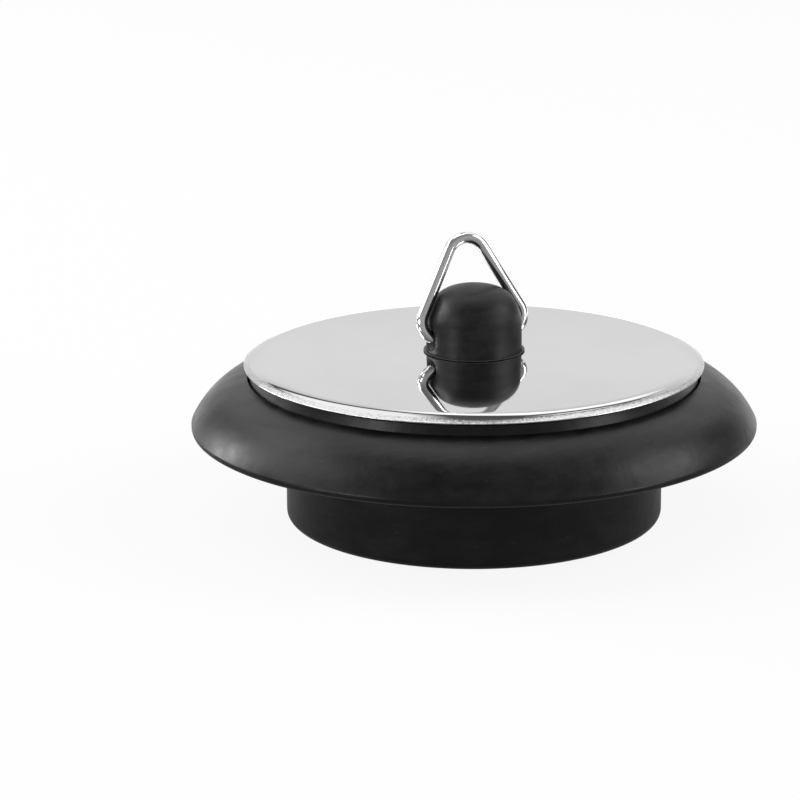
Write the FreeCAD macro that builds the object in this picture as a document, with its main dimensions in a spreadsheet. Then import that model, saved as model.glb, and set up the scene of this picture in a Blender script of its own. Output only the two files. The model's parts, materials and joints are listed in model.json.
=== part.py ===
import FreeCAD, Part
import Sketcher
import enum
import math
import os

# Drain stopper: a hollow rubber plug with a bell flange, a pressed steel cap, a rubber knob and a wire pull ring.
# Millimetres and degrees. +Z is up, and the origin is the centre of the plug's bottom rim.

DRIVING_SIZES = (
    # Rubber plug: a hollow cup under a bell flange, with a low pad on top that bulges like the cap.
    ("plug_radius", "20.0"),
    ("plug_wall", "4.0"),
    ("plug_length", "9.7"),
    ("plug_rim_round", "0.8"),
    ("plug_root_round", "0.5"),
    ("flange_radius", "30.0"),
    ("flange_height", "5.7"),
    ("flange_edge_round", "0.55"),
    ("flange_shoulder_round", "9.35"),
    ("pad_height", "1.85"),
    ("pad_edge_round", "0.5"),
    ("pad_groove_width", "0.3"),
    ("pad_groove_depth", "0.25"),
    ("web_thickness", "4.5"),
    ("roof_round", "1.5"),
    # Steel cap: a slightly bulging disc of sheet that falls off faster near its rim.
    ("cap_radius", "24.3"),
    ("cap_overhang", "0.6"),
    ("cap_sheet", "0.55"),
    ("cap_dome_round", "400.0"),
    ("cap_brow_width", "1.4"),
    ("cap_brow_round", "2.6"),
    ("cap_edge_round", "0.08"),
    ("cap_cut_round", "0.06"),
    ("cap_seat_gap", "0.1"),
    ("cap_hole_clearance", "0.3"),
    # Rubber knob: a domed grip with a flash lip, and a barbed stem through the cap and the plug's web.
    ("knob_radius", "5.05"),
    ("knob_height", "7.1"),
    ("knob_shoulder_round", "3.6"),
    ("knob_crown_round", "9.0"),
    ("knob_foot_inset", "0.15"),
    ("lip_overhang", "0.3"),
    ("lip_rise", "0.2"),
    ("lip_curl", "0.06"),
    ("lip_thickness", "0.09"),
    ("stem_radius", "3.0"),
    ("stem_clearance", "0.05"),
    ("tail_radius", "5.5"),
    ("tail_band", "0.8"),
    ("tail_nose", "2.2"),
    ("tail_tip_radius", "2.4"),
    # Pull ring: bent wire in the knob's cross hole, yawed and leaning back at rest.
    ("wire_diameter", "1.22"),
    ("bore_clearance", "0.08"),
    ("mouth_sweep", "56.0"),
    ("mouth_overrun", "0.6"),
    ("dish_sweep", "232.0"),
    ("hinge_rise", "1.55"),
    ("ring_half_width", "5.8"),
    ("ring_corner_round", "1.81"),
    ("ring_apex_round", "2.22"),
    ("ring_reach", "10.37"),
    ("ring_end_gap", "0.6"),
    ("ring_yaw", "24.0"),
    ("ring_lean", "12.7"),
)


class Turn(enum.IntEnum):
    """Which way a round edge turns."""
    LEFT = 1
    RIGHT = -1


class Spot(enum.IntEnum):
    """A sketch's own numbers for the points of an edge."""
    START = 1
    END = 2
    CENTRE = 3


class Axis(enum.IntEnum):
    """A sketch's own numbers for its axes."""
    HORIZONTAL = -1
    VERTICAL = -2


ORIGIN = (Axis.HORIZONTAL, Spot.START)

doc = FreeCAD.newDocument("drain_stopper")
sheet = doc.addObject("Spreadsheet::Sheet", "Sizes")
for row, (alias, number) in enumerate(DRIVING_SIZES, start=1):
    sheet.set(f"A{row}", alias)
    sheet.set(f"B{row}", number)
    sheet.setAlias(f"B{row}", alias)
doc.recompute()


class Dimension:
    """A size worked out from the sheet: its number now, and the expression that keeps it bound."""

    def __init__(self, value, text):
        self.value = value
        self.text = text

    def __add__(self, other):
        return Dimension(self.value + other.value, f"({self.text} + {other.text})")

    def __sub__(self, other):
        return Dimension(self.value - other.value, f"({self.text} - {other.text})")

    def half(self):
        return Dimension(self.value / 2, f"({self.text} / 2)")


class SheetSizes:
    """Reads a driving size from the sheet by its alias."""

    def __getattr__(self, alias):
        return Dimension(float(getattr(sheet, alias)), f"Sizes.{alias}")


size = SheetSizes()
ZERO = Dimension(0.0, "0")

# Levels, counted up from the plug's bottom rim. The pad's and the cap's are at the edge of their holes.
crease_z = size.plug_length + size.flange_height
pad_top_z = crease_z + size.pad_height
disc_under_z = pad_top_z + size.cap_seat_gap
disc_top_z = disc_under_z + size.cap_sheet
roof_z = pad_top_z - size.web_thickness
tail_tip_z = roof_z - size.tail_band - size.tail_nose
knob_top_z = disc_top_z + size.knob_height
hinge_z = disc_top_z + size.hinge_rise

# Radii and widths that two pieces share.
hollow_radius = size.plug_radius - size.plug_wall
pad_radius = size.cap_radius - size.cap_overhang
wire_radius = size.wire_diameter.half()
bore_radius = wire_radius + size.bore_clearance
corner_start = size.ring_half_width - size.ring_corner_round


class Vertex:
    """A corner of an outline. A loose one has starting numbers only: tangency settles its place."""

    def __init__(self, x, y, loose_x=False, loose_y=False):
        self.x = x
        self.y = y
        self.loose_x = loose_x
        self.loose_y = loose_y

    def point(self):
        return FreeCAD.Vector(self.x.value, self.y.value, 0)


def loose(point):
    return Vertex(Dimension(point[0], ""), Dimension(point[1], ""), True, True)


class Straight:
    """A straight edge, smooth where it runs on from the edge before it."""

    def __init__(self, smooth=False, level=False):
        self.smooth = smooth
        self.level = level


class Bend:
    """A round edge that turns left or right as the outline is followed."""

    def __init__(self, radius, turn, smooth=False, centre_on_axis=False, sweep=None):
        self.radius = radius
        self.turn = turn
        self.smooth = smooth
        self.centre_on_axis = centre_on_axis
        self.sweep = sweep


def arc_between(start, end, radius, turn):
    """The arc of under a half turn from start to end, always drawn anticlockwise."""
    chord = end - start
    to_centre = math.sqrt(radius ** 2 - (chord.Length / 2) ** 2)
    across = FreeCAD.Vector(-chord.y, chord.x, 0).normalize()
    centre = (start + end) * 0.5 + across * (to_centre * turn)
    first, last = (start, end) if turn == Turn.LEFT else (end, start)
    first_angle = math.atan2(first.y - centre.y, first.x - centre.x)
    last_angle = math.atan2(last.y - centre.y, last.x - centre.x)
    circle = Part.Circle(centre, FreeCAD.Vector(0, 0, 1), radius)
    return Part.ArcOfCircle(circle, first_angle, last_angle)


def bind(sketch, constraint, text):
    """Adds a constraint whose value follows an expression on the sheet."""
    index = sketch.addConstraint(constraint)
    sketch.setExpression(f"Constraints[{index}]", text)


def pin(sketch, edge, spot, vertex):
    """Holds one end of an edge at the vertex's place."""
    if not vertex.loose_x:
        if vertex.x is ZERO:
            sketch.addConstraint(Sketcher.Constraint("PointOnObject", edge, spot, Axis.VERTICAL))
        else:
            across = Sketcher.Constraint("DistanceX", *ORIGIN, edge, spot, vertex.x.value)
            bind(sketch, across, vertex.x.text)
    if not vertex.loose_y:
        if vertex.y is ZERO:
            sketch.addConstraint(Sketcher.Constraint("PointOnObject", edge, spot, Axis.HORIZONTAL))
        else:
            upward = Sketcher.Constraint("DistanceY", *ORIGIN, edge, spot, vertex.y.value)
            bind(sketch, upward, vertex.y.text)


def draw_outline(sketch, steps, closed=True):
    """Draws vertices joined by edges. Each step is a vertex and the edge that leaves it."""
    count = len(steps) if closed else len(steps) - 1
    ends = []
    for index in range(count):
        vertex, edge = steps[index]
        start = vertex.point()
        end = steps[(index + 1) % len(steps)][0].point()
        if isinstance(edge, Bend):
            drawn = sketch.addGeometry(arc_between(start, end, edge.radius.value, edge.turn), False)
            forward = (drawn, Spot.START, Spot.END)
            backward = (drawn, Spot.END, Spot.START)
            ends.append(forward if edge.turn == Turn.LEFT else backward)
        else:
            drawn = sketch.addGeometry(Part.LineSegment(start, end), False)
            ends.append((drawn, Spot.START, Spot.END))
    for index in range(count):
        vertex, edge = steps[index]
        drawn, leaving, arriving = ends[index]
        if index > 0 or closed:
            before, _, before_end = ends[index - 1]
            kind = "Tangent" if edge.smooth else "Coincident"
            sketch.addConstraint(Sketcher.Constraint(kind, before, before_end, drawn, leaving))
        pin(sketch, drawn, leaving, vertex)
        if isinstance(edge, Bend):
            bind(sketch, Sketcher.Constraint("Radius", drawn, edge.radius.value), edge.radius.text)
            if edge.centre_on_axis:
                sketch.addConstraint(Sketcher.Constraint("PointOnObject", drawn, Spot.CENTRE, Axis.VERTICAL))
            if edge.sweep:
                opening = Sketcher.Constraint("Angle", drawn, math.radians(edge.sweep.value))
                bind(sketch, opening, f"{edge.sweep.text} * 1 deg")
        elif edge.level:
            sketch.addConstraint(Sketcher.Constraint("Horizontal", drawn))
    if not closed:
        drawn, _, arriving = ends[-1]
        pin(sketch, drawn, arriving, steps[-1][0])


def new_sketch(body, name, role):
    """An empty sketch on one of the body's own origin planes."""
    sketch = body.newObject("Sketcher::SketchObject", name)
    plane = next(item for item in body.Origin.OriginFeatures if item.Role == role)
    sketch.AttachmentSupport = [(plane, "")]
    sketch.MapMode = "FlatFace"
    return sketch


def turned_body(node, steps):
    """A body turned about the upright axis from its half section."""
    body = doc.addObject("PartDesign::Body", node)
    body.Label = node
    section = new_sketch(body, f"{node}_section", "XZ_Plane")
    draw_outline(section, steps)
    turn = body.newObject("PartDesign::Revolution", f"{node}_turn")
    turn.Profile = section
    turn.ReferenceAxis = (section, ["V_Axis"])
    turn.Angle = 360
    doc.recompute()
    return body


def mirror_last(body, features, name):
    """Repeats features on the other side of the body's own YZ plane."""
    mirror = body.newObject("PartDesign::Mirrored", name)
    mirror.Originals = features
    plane = next(item for item in body.Origin.OriginFeatures if item.Role == "YZ_Plane")
    mirror.MirrorPlane = (plane, [""])
    body.Tip = mirror
    doc.recompute()


def meeting_point(centre_a, reach_a, centre_b, reach_b, side):
    """Where two circles cross, on the given side of the line from the first centre to the second."""
    span = math.dist(centre_a, centre_b)
    along = (span ** 2 + reach_a ** 2 - reach_b ** 2) / (2 * span)
    off = side * math.sqrt(reach_a ** 2 - along ** 2)
    step_x = (centre_b[0] - centre_a[0]) / span
    step_y = (centre_b[1] - centre_a[1]) / span
    return (centre_a[0] + step_x * along - step_y * off, centre_a[1] + step_y * along + step_x * off)


def on_line_past(start, towards, distance):
    """The point a distance away from start, on the line through both points."""
    span = math.dist(start, towards)
    share = distance / span
    return (start[0] + (towards[0] - start[0]) * share, start[1] + (towards[1] - start[1]) * share)


def dome_centre(reach, x, height):
    """The centre, on the axis, of a dome that passes through a point."""
    return (0.0, height - math.sqrt(reach ** 2 - x ** 2))


def height_on_circle(centre, reach, x):
    """How high a circle's upper side is at a place across."""
    return centre[1] + math.sqrt(reach ** 2 - (x - centre[0]) ** 2)


def make_rubber_plug():
    """The moulded plug: cup, flange, pad and web in one section."""
    edge = size.flange_edge_round
    shoulder = size.flange_shoulder_round
    edge_centre = (size.flange_radius.value - edge.value, size.plug_length.value + edge.value)
    crease = Vertex(pad_radius + size.pad_groove_width, crease_z)
    # The shoulder sweeps in from the flange's edge and ends at the crease below the pad.
    shoulder_centre = meeting_point(
        edge_centre, shoulder.value - edge.value, (crease.x.value, crease.y.value), shoulder.value, Turn.LEFT
    )
    edge_end = on_line_past(shoulder_centre, edge_centre, shoulder.value)
    rim = size.plug_rim_round
    root = size.plug_root_round
    roof = size.roof_round
    pad_edge = size.pad_edge_round
    hole_radius = size.stem_radius + size.stem_clearance
    # The pad's bulge runs level with the cap's underside.
    bulge = size.cap_dome_round - size.cap_sheet - size.cap_seat_gap
    bulge_centre = dome_centre(bulge.value, hole_radius.value, pad_top_z.value)
    pad_edge_x = pad_radius.value - pad_edge.value
    pad_edge_z = height_on_circle(bulge_centre, bulge.value - pad_edge.value, pad_edge_x)
    bulge_end = on_line_past(bulge_centre, (pad_edge_x, pad_edge_z), bulge.value)
    pad_wall_top = Vertex(pad_radius, Dimension(pad_edge_z, ""), loose_y=True)
    return turned_body("rubber_plug", [
        (Vertex(hollow_radius + rim, ZERO), Straight()),
        (Vertex(size.plug_radius - rim, ZERO), Bend(rim, Turn.LEFT)),
        (Vertex(size.plug_radius, rim), Straight()),
        (Vertex(size.plug_radius, size.plug_length - root), Bend(root, Turn.RIGHT)),
        (Vertex(size.plug_radius + root, size.plug_length), Straight()),
        (Vertex(size.flange_radius - edge, size.plug_length), Bend(edge, Turn.LEFT, smooth=True)),
        (loose(edge_end), Bend(shoulder, Turn.LEFT, smooth=True)),
        (crease, Straight()),
        (Vertex(pad_radius, crease_z - size.pad_groove_depth), Straight()),
        (pad_wall_top, Bend(pad_edge, Turn.LEFT, smooth=True)),
        (loose(bulge_end), Bend(bulge, Turn.LEFT, smooth=True, centre_on_axis=True)),
        (Vertex(hole_radius, pad_top_z), Straight()),
        (Vertex(hole_radius, roof_z), Straight()),
        (Vertex(hollow_radius - roof, roof_z), Bend(roof, Turn.RIGHT)),
        (Vertex(hollow_radius, roof_z - roof), Straight()),
        (Vertex(hollow_radius, rim), Bend(rim, Turn.LEFT)),
    ])


def make_steel_cap():
    """The pressed disc: a wide dome, a brow that falls to the rim, and a hole for the knob's stem."""
    dome = size.cap_dome_round
    brow = size.cap_brow_round
    edge = size.cap_edge_round
    under = dome - size.cap_sheet
    cut = size.cap_cut_round
    rim_radius = size.cap_radius.value
    dome_radius = size.cap_radius - size.cap_brow_width
    hole_radius = size.stem_radius + size.cap_hole_clearance
    # The upper side, from the dome outwards.
    top_centre = dome_centre(dome.value, hole_radius.value, disc_top_z.value)
    brow_start = (dome_radius.value, height_on_circle(top_centre, dome.value, dome_radius.value))
    brow_centre = on_line_past(brow_start, top_centre, brow.value)
    edge_x = rim_radius - edge.value
    edge_z = height_on_circle(brow_centre, brow.value - edge.value, edge_x)
    brow_end = on_line_past(brow_centre, (edge_x, edge_z), brow.value)
    # The underside, which has no brow, so that the sheet is thinner at the rim.
    under_centre = dome_centre(under.value, hole_radius.value, disc_under_z.value)
    cut_x = rim_radius - cut.value
    cut_z = height_on_circle(under_centre, under.value + cut.value, cut_x)
    under_end = on_line_past(under_centre, (cut_x, cut_z), under.value)
    return turned_body("steel_cap", [
        (Vertex(hole_radius, disc_under_z), Bend(under, Turn.RIGHT, centre_on_axis=True)),
        (loose(under_end), Bend(cut, Turn.LEFT, smooth=True)),
        (Vertex(size.cap_radius, Dimension(cut_z, ""), loose_y=True), Straight(smooth=True)),
        (Vertex(size.cap_radius, Dimension(edge_z, ""), loose_y=True), Bend(edge, Turn.LEFT, smooth=True)),
        (loose(brow_end), Bend(brow, Turn.LEFT, smooth=True)),
        (
            Vertex(dome_radius, Dimension(brow_start[1], ""), loose_y=True),
            Bend(dome, Turn.LEFT, smooth=True, centre_on_axis=True),
        ),
        (Vertex(hole_radius, disc_top_z), Straight()),
    ])


def make_rubber_knob():
    """The moulded knob, turned from tail to dome, then bored across for the ring."""
    shoulder = size.knob_shoulder_round
    crown = size.knob_crown_round
    shoulder_x = size.knob_radius.value - shoulder.value
    crown_centre = (0.0, knob_top_z.value - crown.value)
    crown_to_shoulder = crown.value - shoulder.value
    shoulder_z = crown_centre[1] + math.sqrt(crown_to_shoulder ** 2 - shoulder_x ** 2)
    dome_seam = on_line_past(crown_centre, (shoulder_x, shoulder_z), crown.value)
    foot_radius = size.knob_radius - size.knob_foot_inset
    lip_radius = size.knob_radius + size.lip_overhang
    lip_z = disc_top_z + size.lip_rise
    wall_top = Vertex(size.knob_radius, Dimension(shoulder_z, ""), loose_y=True)
    body = turned_body("rubber_knob", [
        (Vertex(ZERO, tail_tip_z), Straight()),
        (Vertex(size.tail_tip_radius, tail_tip_z), Straight()),
        (Vertex(size.tail_radius, tail_tip_z + size.tail_nose), Straight()),
        (Vertex(size.tail_radius, roof_z), Straight()),
        (Vertex(size.stem_radius, roof_z), Straight()),
        (Vertex(size.stem_radius, disc_top_z), Straight()),
        (Vertex(foot_radius, disc_top_z), Straight()),
        (Vertex(foot_radius, lip_z), Straight()),
        (Vertex(lip_radius, lip_z + size.lip_curl), Straight()),
        (Vertex(lip_radius, lip_z + size.lip_curl + size.lip_thickness), Straight()),
        (Vertex(size.knob_radius, lip_z + size.lip_thickness), Straight()),
        (wall_top, Bend(shoulder, Turn.LEFT, smooth=True)),
        (loose(dome_seam), Bend(crown, Turn.LEFT, smooth=True, centre_on_axis=True)),
        (Vertex(ZERO, knob_top_z), Straight()),
    ])
    bore_across(body)
    body.Placement = FreeCAD.Placement(
        FreeCAD.Vector(), FreeCAD.Rotation(FreeCAD.Vector(0, 0, 1), size.ring_yaw.value)
    )
    return body


def groove_about_hinge(body, name, steps, sweep_text):
    """Cuts an outline that is turned about the ring's hinge line, as far to both sides of upright."""
    section = new_sketch(body, f"{name}_section", "XZ_Plane")
    section.setExpression("AttachmentOffset.Base.y", hinge_z.text)
    draw_outline(section, steps)
    solid_volume = body.Shape.Volume
    groove = body.newObject("PartDesign::Groove", name)
    groove.Profile = section
    groove.ReferenceAxis = (section, ["H_Axis"])
    groove.Midplane = True
    groove.setExpression("Angle", sweep_text)
    doc.recompute()
    if body.Shape.Volume >= solid_volume:
        raise RuntimeError(f"{name} cuts nothing from the knob")
    return groove


def leg_ends(inset):
    """Both ends of the ring's leg, on a path that runs inside the wire's centre line by a distance."""
    corner_centre = (corner_start.value, size.ring_corner_round.value)
    apex_centre = (0.0, size.ring_reach.value - size.ring_apex_round.value)
    corner = size.ring_corner_round.value - inset
    apex = size.ring_apex_round.value - inset
    rising = math.atan2(apex_centre[1] - corner_centre[1], apex_centre[0] - corner_centre[0])
    outward = rising - math.pi / 2 + math.asin((corner - apex) / math.dist(corner_centre, apex_centre))
    out_x = math.cos(outward)
    out_y = math.sin(outward)
    return (
        (corner_centre[0] + corner * out_x, corner_centre[1] + corner * out_y),
        (apex_centre[0] + apex * out_x, apex_centre[1] + apex * out_y),
    )


def bore_across(body):
    """Cuts the ring's hole, with flared mouths, and dishes the flanks that the ring's legs swing past."""
    flare = size.ring_corner_round - bore_radius
    sweep = math.radians(size.mouth_sweep.value)
    mouth = (
        corner_start.value + flare.value * math.sin(sweep),
        size.ring_corner_round.value - flare.value * math.cos(sweep),
    )
    outside = size.knob_radius + size.mouth_overrun
    mouth_edge = Vertex(outside, Dimension(mouth[1], ""), loose_y=True)
    bore = groove_about_hinge(body, "bore_half", [
        (Vertex(ZERO, ZERO), Straight()),
        (Vertex(outside, ZERO), Straight()),
        (mouth_edge, Straight(level=True)),
        (loose(mouth), Bend(flare, Turn.RIGHT, sweep=size.mouth_sweep)),
        (Vertex(corner_start, bore_radius), Straight(smooth=True)),
        (Vertex(ZERO, bore_radius), Straight()),
    ], "360 deg")
    # The dish follows the inside of the ring's own outline, a clearance away from the wire.
    leg_start, leg_end = leg_ends(bore_radius.value)
    dish = groove_about_hinge(body, "dish_half", [
        (Vertex(ZERO, ZERO), Straight()),
        (Vertex(outside, ZERO), Straight()),
        (Vertex(outside, size.ring_reach), Straight()),
        (Vertex(ZERO, size.ring_reach), Straight()),
        (
            Vertex(ZERO, size.ring_reach - bore_radius),
            Bend(size.ring_apex_round - bore_radius, Turn.RIGHT, centre_on_axis=True),
        ),
        (loose(leg_end), Straight(smooth=True)),
        (loose(leg_start), Bend(flare, Turn.RIGHT, smooth=True)),
        (Vertex(corner_start, bore_radius), Straight(smooth=True)),
        (Vertex(ZERO, bore_radius), Straight()),
    ], f"{size.dish_sweep.text} * 1 deg")
    mirror_last(body, [bore, dish], "both_flanks")


def make_pull_ring():
    """The wire ring: half of it swept along its bends and mirrored, with its ends apart inside the hole."""
    corner = size.ring_corner_round
    apex = size.ring_apex_round
    leg_start, leg_end = leg_ends(0.0)
    body = doc.addObject("PartDesign::Body", "pull_ring")
    body.Label = "pull_ring"
    path = new_sketch(body, "ring_path", "XZ_Plane")
    draw_outline(path, [
        (Vertex(size.ring_end_gap.half(), ZERO), Straight()),
        (Vertex(corner_start, ZERO), Bend(corner, Turn.LEFT, smooth=True)),
        (loose(leg_start), Straight(smooth=True)),
        (loose(leg_end), Bend(apex, Turn.LEFT, smooth=True, centre_on_axis=True)),
        (Vertex(ZERO, size.ring_reach), None),
    ], closed=False)
    wire = new_sketch(body, "wire_section", "YZ_Plane")
    wire.setExpression("AttachmentOffset.Base.z", size.ring_end_gap.half().text)
    round_wire = wire.addGeometry(
        Part.Circle(FreeCAD.Vector(), FreeCAD.Vector(0, 0, 1), wire_radius.value), False
    )
    wire.addConstraint(Sketcher.Constraint("Coincident", round_wire, Spot.CENTRE, *ORIGIN))
    bind(wire, Sketcher.Constraint("Diameter", round_wire, size.wire_diameter.value), size.wire_diameter.text)
    doc.recompute()
    sweep = body.newObject("PartDesign::AdditivePipe", "ring_half")
    sweep.Profile = wire
    sweep.Spine = (path, [f"Edge{number + 1}" for number in range(path.GeometryCount)])
    doc.recompute()
    mirror_last(body, [sweep], "ring_both_halves")
    yaw = FreeCAD.Rotation(FreeCAD.Vector(0, 0, 1), size.ring_yaw.value)
    lean_back = FreeCAD.Rotation(FreeCAD.Vector(1, 0, 0), -size.ring_lean.value)
    body.Placement = FreeCAD.Placement(FreeCAD.Vector(0, 0, hinge_z.value), yaw.multiply(lean_back))
    return body


nodes = [make_rubber_plug(), make_steel_cap(), make_rubber_knob(), make_pull_ring()]
doc.recompute()

for item in doc.Objects:
    if "Invalid" in item.State or "Error" in item.State:
        raise RuntimeError(f"{item.Label} did not compute: {item.State}")
    if item.isDerivedFrom("Sketcher::SketchObject") and not item.FullyConstrained:
        raise RuntimeError(f"{item.Label} is not fully constrained")
for body in nodes:
    if body.Shape.isNull() or not body.Shape.isValid() or len(body.Shape.Solids) != 1:
        raise RuntimeError(f"{body.Label} is not one valid solid")

os.makedirs("parts", exist_ok=True)
for body in nodes:
    body.Shape.exportStep(f"parts/{body.Label}.step")
    box = body.Shape.BoundBox
    print(f"{body.Label}: {body.Shape.Volume:.1f} mm3, z {box.ZMin:.2f} to {box.ZMax:.2f}")
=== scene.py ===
import bmesh
import bpy
import json
import math
from mathutils import Matrix, Vector, noise


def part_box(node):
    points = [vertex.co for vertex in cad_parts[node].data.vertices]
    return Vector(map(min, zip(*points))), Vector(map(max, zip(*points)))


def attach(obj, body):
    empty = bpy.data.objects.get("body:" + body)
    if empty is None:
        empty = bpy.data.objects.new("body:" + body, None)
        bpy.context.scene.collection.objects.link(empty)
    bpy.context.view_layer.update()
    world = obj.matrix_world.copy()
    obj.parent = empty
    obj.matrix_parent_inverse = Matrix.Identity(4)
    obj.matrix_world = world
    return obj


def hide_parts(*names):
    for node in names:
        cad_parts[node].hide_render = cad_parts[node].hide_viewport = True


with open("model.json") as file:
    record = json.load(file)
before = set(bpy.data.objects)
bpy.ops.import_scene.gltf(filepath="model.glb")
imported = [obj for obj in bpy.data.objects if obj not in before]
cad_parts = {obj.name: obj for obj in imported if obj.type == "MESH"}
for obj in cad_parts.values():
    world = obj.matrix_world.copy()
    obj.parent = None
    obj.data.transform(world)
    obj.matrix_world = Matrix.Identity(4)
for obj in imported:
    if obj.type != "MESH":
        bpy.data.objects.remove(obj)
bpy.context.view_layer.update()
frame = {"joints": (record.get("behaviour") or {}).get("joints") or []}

# Rubber plug.
# Black moulded rubber: a hollow cup that drops into the drain, a bell flange that seals round it,
# and a low pad on top for the steel cap. One turned section, with the mould's witness line at the edge.

MM = 0.001
plug_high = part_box("rubber_plug")[1]
FLANGE_RADIUS = plug_high.x
PAD_TOP = plug_high.z
PLUG_RADIUS = 20.0 * MM
PLUG_WALL = 4.0 * MM
PLUG_LENGTH = 9.7 * MM
PLUG_RIM_ROUND = 0.8 * MM
PLUG_ROOT_ROUND = 0.5 * MM
FLANGE_EDGE_ROUND = 0.55 * MM
FLANGE_SHOULDER_ROUND = 9.35 * MM
WITNESS_STEP = 0.06 * MM
FLANGE_HEIGHT = 5.7 * MM
PAD_RADIUS = 23.85 * MM
PAD_TOP_RADIUS = 23.55 * MM
PAD_EDGE_ROUND = 0.5 * MM
PAD_BULGE_ROUND = 399.35 * MM
CREASE_WIDTH = 0.15 * MM
CREASE_DEPTH = 0.5 * MM
WEB_THICKNESS = 4.5 * MM
ROOF_ROUND = 1.5 * MM
STEM_HOLE_RADIUS = 3.05 * MM
FLANGE_WOBBLE = 0.05 * MM
FLANGE_WOBBLE_WAVES = 3.0

# How finely the section's rounds are divided, and the section's turn.
RIM_STEPS = 10
ROOT_STEPS = 8
SHOULDER_STEPS = 40
PAD_EDGE_STEPS = 6
BULGE_STEPS = 16
PLUG_TURN_STEPS = 256
LINE_GUARD = 0.04 * MM
MERGE_WITHIN = 0.002 * MM
FLAT_WITHIN = 0.001 * MM
SHARP_DEGREES = 38

# Colours are linear, and the noises' scales are in cycles to the metre.
RUBBER_BLACK = (0.0040, 0.0040, 0.0043, 1.0)
RUBBER_BLOOM = (0.0125, 0.0125, 0.0128, 1.0)
# The pale colour stands for real dust and scuffs, and also for a painted highlight along the knob's flash
# edge.
RUBBER_DUST_AND_HIGHLIGHT = (0.0800, 0.0800, 0.0800, 1.0)
RUBBER_SPECULAR = 0.25
PLUG_SMOOTHEST = 0.30
PLUG_ROUGHEST = 0.42
MOTTLE_SCALE = 330
MOTTLE_HEIGHT = 0.060 * MM
MOTTLE_SPREAD = (0.3, 0.7)
TURNING_SCALE = 1100
TURNING_ROUND_SHARE = 0.30
TURNING_HEIGHT = 0.005 * MM
GRAIN_SCALE = 5200
GRAIN_HEIGHT = 0.0012 * MM
BLOOM_SPREAD = (0.85, 1.30)
SCUFF_SCALE = 2600
SCUFF_EDGE = (0.66, 0.74)
SCUFF_STRENGTH = 0.5
SPECK_EDGE = (0.74, 0.80)
SPECK_STRENGTH = 0.8
# How far the painted highlight on a flash edge takes to fade in.
EDGE_HIGHLIGHT_FADE = 0.04 * MM
# A metre away is past the whole object.
EDGE_HIGHLIGHT_NOWHERE = 1.0


class SectionPen:
    """Draws a half section in the XZ plane, one line or arc after another, and turns it about Z."""

    def __init__(self, radius, height):
        self.mesh = bmesh.new()
        self.tip = self.mesh.verts.new((radius, 0, height))

    def step(self, radius, height):
        """A straight run in one step."""
        self.tip = bmesh.ops.extrude_vert_indiv(self.mesh, verts=[self.tip])["verts"][0]
        self.tip.co = (radius, 0, height)

    def line(self, radius, height):
        """A straight run, with a vertex close to each end so that its shading stays flat."""
        start = self.tip.co.copy()
        end = Vector((radius, 0, height))
        run = end - start
        if run.length > 4 * LINE_GUARD:
            inset = run.normalized() * LINE_GUARD
            for stop in (start + inset, end - inset):
                self.step(stop.x, stop.z)
        self.step(radius, height)

    def run(self, radius, height, steps):
        """A straight run in equal steps."""
        start = self.tip.co.copy()
        end = Vector((radius, 0, height))
        for count in range(1, steps + 1):
            stop = start.lerp(end, count / steps)
            self.step(stop.x, stop.z)

    def arc(self, centre_radius, centre_height, degrees, steps):
        """An arc about a centre, anticlockwise where the angle is positive."""
        turned = bmesh.ops.spin(
            self.mesh, geom=[self.tip], cent=(centre_radius, 0, centre_height), axis=(0, -1, 0),
            angle=math.radians(degrees), steps=steps,
        )
        self.tip = next(item for item in turned["geom_last"] if isinstance(item, bmesh.types.BMVert))

    def turn(self, steps):
        """Turns the section right round and closes its seam and poles."""
        section = self.mesh.verts[:] + self.mesh.edges[:]
        bmesh.ops.spin(
            self.mesh, geom=section, cent=(0, 0, 0), axis=(0, 0, 1),
            angle=math.tau, steps=steps, use_merge=True,
        )
        close_seams(self.mesh)
        return self.mesh


def close_seams(mesh):
    """Merges doubled vertices, drops the faces that this leaves flat, and points the rest outwards."""
    bmesh.ops.remove_doubles(mesh, verts=mesh.verts, dist=MERGE_WITHIN)
    bmesh.ops.dissolve_degenerate(mesh, edges=mesh.edges, dist=FLAT_WITHIN)
    bmesh.ops.recalc_face_normals(mesh, faces=mesh.faces)


def finish_piece(name, mesh, material, body, node):
    """Makes the mesh an object at the origin that stands for a CAD node and moves with its body."""
    data = bpy.data.meshes.new(name)
    mesh.to_mesh(data)
    mesh.free()
    data.shade_smooth()
    data.set_sharp_from_angle(angle=math.radians(SHARP_DEGREES))
    data.materials.append(material)
    piece = bpy.data.objects.new(name, data)
    bpy.context.scene.collection.objects.link(piece)
    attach(piece, body)
    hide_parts(node)
    return piece


def feed(tree, socket, value):
    """Gives a socket its value, or links it to the socket that feeds it."""
    if isinstance(value, bpy.types.NodeSocket):
        tree.links.new(value, socket)
    else:
        socket.default_value = value


def add_node(tree, kind, settings=None, **inputs):
    """Adds a shader node. Each input is a value, or the socket that feeds it."""
    node = tree.nodes.new(kind)
    for name, value in (settings or {}).items():
        setattr(node, name, value)
    for name, value in inputs.items():
        feed(tree, node.inputs[name.replace("_", " ")], value)
    return node


def add_math(tree, operation, first, second=0.0):
    """Adds a Math node and gives its result."""
    node = add_node(tree, "ShaderNodeMath", {"operation": operation})
    for socket, value in zip(node.inputs, (first, second)):
        feed(tree, socket, value)
    return node.outputs["Value"]


def add_noise(tree, position, scale, detail, roughness=0.5):
    """Adds a Noise Texture and gives its value."""
    node = add_node(
        tree, "ShaderNodeTexNoise", Vector=position, Scale=scale, Detail=detail, Roughness=roughness
    )
    return node.outputs["Fac"]


def add_range(tree, value, low, high, to_low, to_high):
    """Adds a Map Range node and gives its result."""
    node = add_node(
        tree, "ShaderNodeMapRange", Value=value, From_Min=low, From_Max=high, To_Min=to_low, To_Max=to_high
    )
    return node.outputs["Result"]


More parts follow.
